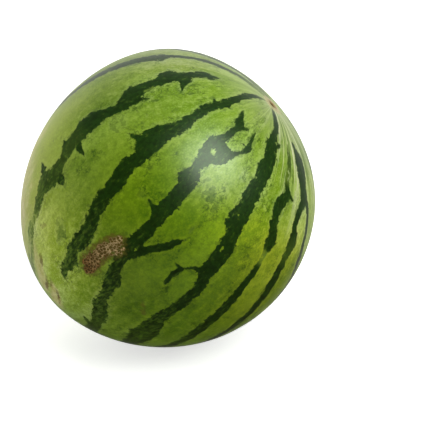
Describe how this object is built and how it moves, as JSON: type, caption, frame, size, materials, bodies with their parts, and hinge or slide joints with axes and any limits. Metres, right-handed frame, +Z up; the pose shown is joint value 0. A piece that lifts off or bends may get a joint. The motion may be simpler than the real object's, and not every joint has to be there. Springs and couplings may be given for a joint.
{
  "type": "watermelon",
  "caption": "Whole round watermelon with jagged dark green stripes on a light green rind, resting on a small flat.",
  "frame": {"origin": "middle of the small flat on the rind that the fruit rests on", "axes": "+Z up, square to the rest flat; the blossom end leans 44 degrees from +Z toward +X; -Y is the front"},
  "size_m": [0.2291, 0.2261, 0.2294],
  "materials": {
    "rind": "satin, waxy striped rind with a dry corky scar"
  },
  "bodies": {
    "root": {"watermelon": "rind"}
  },
  "joints": []
}
